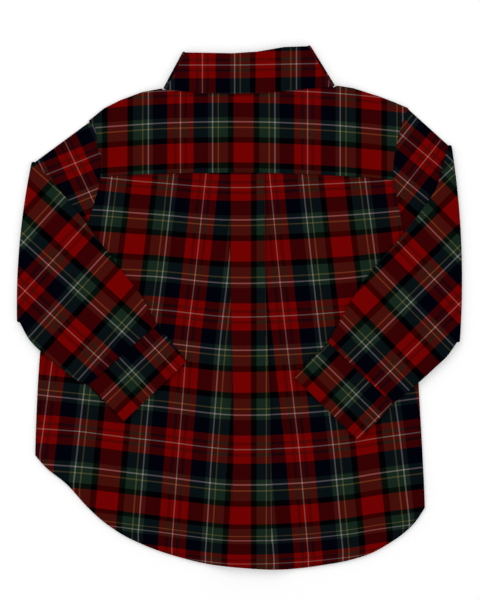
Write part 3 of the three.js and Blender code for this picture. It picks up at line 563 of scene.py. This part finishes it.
# ---- collar -------------------------------------------------------------------------------------
# A two-piece shirt collar: a stand round the flattened neck, 22 mm high, and a leaf turned down over
# it, 50 mm deep with its turn, whose points lie under the shirt.
COLLAR = [
    # fold line x and y, seam x and y, free edge x and y, 1 below the neck or 0 on top
    (6.6, 160, 6.6, 134, -24, 118, 1), (-16, 170, -26, 146, -42, 138, 1),
    (-32, 187, -45, 166, -54, 159, 1), (-42.4, 204, -54.2, 182, -58.4, 174.2, 1),
    (-42.4, 204, -54.2, 182, -58.4, 174.2, 0), (-25, 203.8, -30, 180, -32, 171.4, 0),
    (-5, 203.4, -5.8, 179, -6, 171, 0), (15, 204.8, 18.6, 180, 20, 171.6, 0),
    (36, 208.4, 43, 183, 46, 174, 0), (54.5, 209, 68.4, 185, 74.5, 176.4, 0),
    (54.5, 209, 68.4, 185, 74.5, 176.4, 1), (46, 190, 59, 168, 69, 160.5, 1),
    (31, 172, 41, 148, 58, 139, 1), (9.4, 160, 9.4, 134, 40, 118, 1),
]


NECK_MID_Z = 3.55  # height of the middle of the flattened neck
STAND_OUT, LEAF_OUT = 0.75, 2.25  # stand and leaf lie this far out from it
TURN_RADIUS, TURN_DEPTH = 0.75, 1.25  # the leaf's fold, and how far below the top its middle is
LEAF_TURN_IN, STAND_TOP = 6, 6.3  # the leaf reaches down inside to meet the stand
LEAF_COLUMNS, STAND_COLUMNS, STEPS_BETWEEN = 12, 8, 8
LEAF_GUIDE = 12  # the column on the outer leaf along which the warp is counted
COLLAR_WARP_X, LEAF_WEFT_Y, LEAF_WEFT_LEAN = 21.2, 193.6, 0.02
LEAF_UNDER_RUN, STAND_WEFT_Y = 8, 150
STAND_LAP_X, STAND_TRIM_X, STAND_TRIM_UP = 19.0, 19.3, 2  # its ends reach past the centre


def collar_stations():
    """The rows of the table with eight steps between them; at the two sides of the neck the steps
    turn round the fold instead. Columns: the six places, cosine, sine, sideways x and y."""
    made = []
    for before, after in zip(COLLAR[:-1], COLLAR[1:]):
        a, b = np.array(before, dtype=float), np.array(after, dtype=float)
        for k in range(STEPS_BETWEEN):
            s = k / STEPS_BETWEEN
            row = a[:6] + (b[:6] - a[:6]) * s
            angle = math.pi * (a[6] + (b[6] - a[6]) * s)
            side_x = side_y = 0.0
            if a[6] != b[6]:
                length = math.hypot(row[4] - row[0], row[5] - row[1])
                sign = 1 if row[0] > MID_X else -1
                side_x = sign * (row[1] - row[5]) / length
                side_y = sign * (row[4] - row[0]) / length
            made.append([*row, math.cos(angle), math.sin(angle), side_x, side_y])
    last = COLLAR[-1]
    made.append([*last[:6], -1.0, 0.0, 0.0, 0.0])
    return np.array(made)


def collar_points(stations, down, out, to_leaf):
    """Place of each step (down from the fold, out from the middle of the neck) at each station."""
    f, m, e = stations[:, None, 0:2], stations[:, None, 2:4], stations[:, None, 4:6]
    cos, sin, side = stations[:, None, 6], stations[:, None, 7], stations[:, None, 8:10]
    to_seam = (m - f) / np.linalg.norm(m - f, axis=-1, keepdims=True)
    to_free = (e - f) / np.linalg.norm(e - f, axis=-1, keepdims=True)
    along = to_seam + (to_free - to_seam) * to_leaf[..., None]
    flat = f + along * down[..., None] + side * (out * sin)[..., None]
    return np.concatenate([flat, (NECK_MID_Z + out * cos)[..., None]], axis=-1)


stations = collar_stations()
reach = np.linalg.norm(stations[:, 4:6] - stations[:, 0:2], axis=1)[:, None]
turn = np.linspace(0, math.pi, 9)[None, :]
ones = np.ones_like(reach)
flat_part = np.linspace(0.12, 1, LEAF_COLUMNS)[None, :]
leaf_down = np.concatenate([
    LEAF_TURN_IN * ones, ones * (TURN_DEPTH - TURN_RADIUS * np.sin(turn)), reach * flat_part,
], axis=1)
leaf_out = np.concatenate([
    STAND_OUT * ones, ones * (STAND_OUT + TURN_RADIUS * (1 - np.cos(turn))),
    LEAF_OUT * ones * np.ones((1, LEAF_COLUMNS)),
], axis=1)
leaf_mix = np.concatenate([
    0 * ones, ones * turn / math.pi, ones * np.ones((1, LEAF_COLUMNS)),
], axis=1)
leaf_middle = collar_points(stations, leaf_down, leaf_out, leaf_mix)
leaf_normal = -grid_normals(leaf_middle)
steps = np.linalg.norm(np.diff(leaf_middle, axis=1), axis=-1)
leaf_run = np.concatenate([np.zeros((len(stations), 1)), np.cumsum(steps, axis=1)], axis=1)
on_top = stations[:, None, 6] > 0.99
top_rows = np.where(stations[:, 6] > 0)[0]
guide = leaf_middle[:, LEAF_GUIDE]
travel = np.concatenate([[0], np.cumsum(np.linalg.norm(np.diff(guide, axis=0), axis=-1))])
middle_row = top_rows[np.argmin(np.abs(guide[top_rows, 0] - COLLAR_WARP_X))]
leaf_x, leaf_y = leaf_middle[..., 0], leaf_middle[..., 1]
leaf_u = np.where(on_top, leaf_x - COLLAR_WARP_X, (travel - travel[middle_row])[:, None]) / HALF_SETT
leaf_v = 1 + (leaf_y - LEAF_WEFT_Y - LEAF_WEFT_LEAN * np.maximum(leaf_x, 0)) / HALF_SETT
leaf_under = 1 + (LEAF_UNDER_RUN - leaf_run) / HALF_SETT
leaf_v = np.where(on_top, leaf_v, leaf_under)
collar_leaf = shell("collar_leaf", leaf_middle, leaf_normal, np.stack([leaf_u, leaf_v], axis=-1))
sew(collar_leaf, "collar_leaf", flat=(0.29, 0.05), held="folded",
    rests_on=["collar_stand_cloth"], area=0.0109)

stand_rows = stations.copy()
stand_rows[0, [0, 2]] = STAND_LAP_X
stand_rows[-1, [0, 2]] = STAND_TRIM_X
stand_rows[-1, [1, 3]] += STAND_TRIM_UP
height = np.linalg.norm(stand_rows[:, 2:4] - stand_rows[:, 0:2], axis=1)[:, None]
stand_down = STAND_TOP + (height - STAND_TOP) * np.linspace(0, 1, STAND_COLUMNS)[None, :]
stand_out = np.full_like(stand_down, STAND_OUT)
stand_middle = collar_points(stand_rows, stand_down, stand_out, np.zeros_like(stand_down))
stand_normal = np.zeros_like(stand_middle)
stand_normal[..., 2] = stand_rows[:, None, 6]
stand_normal[..., 0] = stand_rows[:, None, 8] * stand_rows[:, None, 7]
stand_normal[..., 1] = stand_rows[:, None, 9] * stand_rows[:, None, 7]
stand_uv = (stand_middle[..., :2] - (COLLAR_WARP_X, STAND_WEFT_Y)) / HALF_SETT
collar_stand = shell("collar_stand", stand_middle, stand_normal, stand_uv)
sew(collar_stand, "collar_stand", flat=(0.28, 0.022), held="folded",
    rests_on=["yoke_cloth"], area=0.0050)

# ---- sleeves and cuffs --------------------------------------------------------------------------
# Each sleeve is a flattened tube, 200 by 215 mm as a flat piece, set into the armhole, folded over at
# its outer edge and laid across the back. A plain cuff, 40 mm deep, is sewn on its end.
# Rows from the outer fold to the cuff seam: upper edge x and y, lower edge x and y.
SLEEVES = {
    "left": {
        "sign": -1, "outward": (-1, 0.08), "bow": 3.7, "shoulder": 149.0, "underarm": 12.0,
        "edge": LEFT_EDGE, "area": 0.0342,
        "rows": [(-163.4, 116.6, -175.2, -12), (-150, 101.4, -167.5, -26), (-131, 79, -157, -36.6),
                 (-111, 52.4, -146, -45.5), (-93, 28.8, -137, -52.8), (-77.6, 9, -128.5, -59),
                 (-65.6, -13.2, -120.8, -62)],
        "end": (-41.6, -42.8, -92.8, -91.6),
    },
    "right": {
        "sign": 1, "outward": (1, 0.04), "bow": 4.5, "shoulder": 159.2, "underarm": 8.0,
        "edge": RIGHT_EDGE, "area": 0.0353,
        "rows": [(167.6, 130, 174.2, -28), (158.4, 97, 166, -39.5), (145.6, 77.2, 157.5, -47.5),
                 (127, 53.5, 149.5, -55), (108.8, 33.2, 141, -62.5), (91, 7.5, 132, -70),
                 (71.2, -27.6, 123.2, -77.2)],
        "end": (44, -55.6, 96, -106.8),
    },
}


TUBE_HALF = 1.25  # half the height of the flattened tube
TUBE_MIDDLE = 0.75  # from the middle of the tube to the middle of its cloth
FOLD_AXIS_Z = 2.75  # height of the axis the sleeve folds about
ARMHOLE_CLEAR = 0.1
SLEEVE_PUFF = 0.9  # the folded-over part stands this much fuller between its edges
UPPER_SECTIONS, FOLD_SECTIONS, FORE_SECTIONS, CUFF_SECTIONS = 15, 15, 59, 14
UPPER_WEAVE_SECTIONS = 23  # up to half way round the outer fold
CUFF_GAP = 0.3


def tube_loop(across=30, bend=6):
    """Once round a flattened tube: share across it, direction out of its edge, direction up."""
    a = np.linspace(0, math.pi, bend + 1)[1:-1]
    flat = np.linspace(0, 1, across)
    share = np.concatenate([flat, np.ones(len(a)), flat[::-1], np.zeros(len(a))])
    out = np.concatenate([0 * flat, np.sin(a), 0 * flat, -np.sin(a)])
    up = np.concatenate([0 * flat - 1, -np.cos(a), 0 * flat + 1, np.cos(a)])
    return share, out, up


def around(width):
    """Share along a section of this width, and height over the table, once round the tube."""
    share, out, up = tube_loop()
    along = (TUBE_HALF + (width - 2 * TUBE_HALF) * share + TUBE_MIDDLE * out) / width
    return along, TUBE_HALF + TUBE_MIDDLE * up, up


def turned_section(row, puff=0.0):
    """Section of the folded-over part between the points of a row: upper x, y and lower x, y. The
    tube lies upside down above the fold's axis, its upper layer fuller by a sine to the half power."""
    upper, lower = row[:2], row[2:]
    along, high, up = around(np.linalg.norm(upper - lower))
    flat = lower[None] + (upper - lower)[None] * along[:, None]
    full = puff * np.sin(np.pi * np.clip(along, 0, 1)) ** 0.5
    return np.column_stack([flat, 2 * FOLD_AXIS_Z - high + np.where(up < 0, full, 0)])


def sleeve_sections(spec):
    """Sections of one sleeve: straight from the armhole to the outer fold, round the fold by half
    a turn about its axis, then smoothly through the rows of the table to the cuff seam."""
    sign, rows = spec["sign"], np.array(spec["rows"], dtype=float)
    fold_upper, fold_lower = rows[0, :2], rows[0, 2:]
    fold_width = np.linalg.norm(fold_upper - fold_lower)
    armhole_width = spec["shoulder"] - spec["underarm"]
    outward = np.array(spec["outward"])[None]

    def fold_at(share):
        point = fold_lower[None] + (fold_upper - fold_lower)[None] * share[:, None]
        point[:, 0] += sign * 4 * spec["bow"] * share * (1 - share)
        return point

    def armhole_at(share):
        y = spec["underarm"] + armhole_width * share
        return np.stack([curve(spec["edge"], y) + sign * ARMHOLE_CLEAR, y], axis=1)

    sections = []
    for t in np.arange(UPPER_SECTIONS) / UPPER_SECTIONS:
        along, high, _ = around(armhole_width * (1 - t) + fold_width * t)
        flat = armhole_at(along) * (1 - t) + fold_at(along) * t
        sections.append(np.column_stack([flat, high]))
    along, high, _ = around(fold_width)
    for a in np.linspace(0, math.pi, FOLD_SECTIONS):
        reach = (FOLD_AXIS_Z - high) * math.sin(a) / math.hypot(*spec["outward"])
        point = fold_at(along) + outward * reach[:, None]
        sections.append(np.column_stack([point, FOLD_AXIS_Z - (FOLD_AXIS_Z - high) * math.cos(a)]))
    last = len(rows) - 1
    table = np.column_stack([np.arange(len(rows)), rows]).tolist()
    for s in np.linspace(0, last, FORE_SECTIONS + 1)[1:]:
        row = np.array([curve(table, s, k) for k in range(1, 5)], dtype=float)
        puff = SLEEVE_PUFF * math.sin(math.pi * min(s / last, 1)) ** 0.5 if s < last else 0.0
        sections.append(turned_section(row, puff))
    return np.array(sections)


def cuff_sections(spec):
    """Sections of one cuff, straight from just past the cuff seam to its end."""
    start, end = np.array(spec["rows"][-1], dtype=float), np.array(spec["end"], dtype=float)
    depth = np.linalg.norm(end[:2] - start[:2])
    shares = np.linspace(CUFF_GAP / depth, 1, CUFF_SECTIONS)
    return np.array([turned_section(start + (end - start) * t) for t in shares])


# The slanting weave of each folded-over sleeve, cuff and upper sleeve: where two red middles cross,
# the unit vector that counts half setts across with their size in mm, and the same along.
WEAVE = {
    "fore_left": ((-94.7, 18.4), (-0.671, -0.741), 55.0, (0.741, -0.671), 53.0),
    "fore_right": ((100.6, 5.8), (0.699, -0.715), 54.6, (-0.715, -0.699), 51.3),
    "cuff_left": ((-86.1, -85.4), (-0.7215, -0.692), 50.2, (-0.692, 0.7215), 51.0),
    "cuff_right": ((59.0, -70.4), (0.713, -0.702), 49.0, (0.702, 0.713), 51.0),
    "upper_left": ((-131.2, 115.6), (0.90, 0.43), 50.2, (-0.374, 0.928), 50.2),
    "upper_right": ((151.2, 120.8), (0.787, -0.617), 51.0, (0.638, 0.769), 51.5),
}


def slanted(key, x, y, shift=0.0):
    """Weave of points: their distance along each direction from the crossing, in half setts."""
    (at_x, at_y), across, wide, along, long = WEAVE[key]
    u = shift + ((x - at_x) * across[0] + (y - at_y) * across[1]) / wide
    v = shift + ((x - at_x) * along[0] + (y - at_y) * along[1]) / long
    return np.stack([u, v], axis=-1)


for name, spec in SLEEVES.items():
    sleeve_middle, cuff_middle = sleeve_sections(spec), cuff_sections(spec)
    closed = np.concatenate([sleeve_middle, sleeve_middle[:, :1]], axis=1)
    sleeve_uv = slanted("fore_" + name, closed[..., 0], closed[..., 1])
    upper = closed[:UPPER_WEAVE_SECTIONS]
    # the upper sleeve counts from where two white lines cross
    sleeve_uv[:UPPER_WEAVE_SECTIONS] = slanted("upper_" + name, upper[..., 0], upper[..., 1], 1.0)
    sleeve = shell("sleeve_" + name, sleeve_middle, grid_normals(sleeve_middle, True), sleeve_uv, True)
    sew(sleeve, "sleeve_" + name, flat=(0.2, 0.215), held="folded", rests_on=[floor, back],
        area=spec["area"])
    closed = np.concatenate([cuff_middle, cuff_middle[:, :1]], axis=1)
    cuff_uv = slanted("cuff_" + name, closed[..., 0], closed[..., 1])
    cuff = shell("cuff_" + name, cuff_middle, grid_normals(cuff_middle, True), cuff_uv, True)
    sew(cuff, "cuff_" + name, flat=(0.146, 0.04), held="folded", rests_on=[back], area=0.0056)

# ---- buttons ------------------------------------------------------------------------------------
# Seven dark four-hole shirt buttons of moulded resin, 10 mm across, under the bands; they keep the
# shape of the CAD part and take a glossy material.
resin = bpy.data.materials.new("button_resin")
resin.use_nodes = True
resin.node_tree.nodes["Principled BSDF"].inputs["Base Color"].default_value = (0.012, 0.01, 0.016, 1)
resin.node_tree.nodes["Principled BSDF"].inputs["Roughness"].default_value = 0.3
for node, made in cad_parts.items():
    if node.startswith("button_"):
        for slot in made.material_slots:
            slot.material = resin
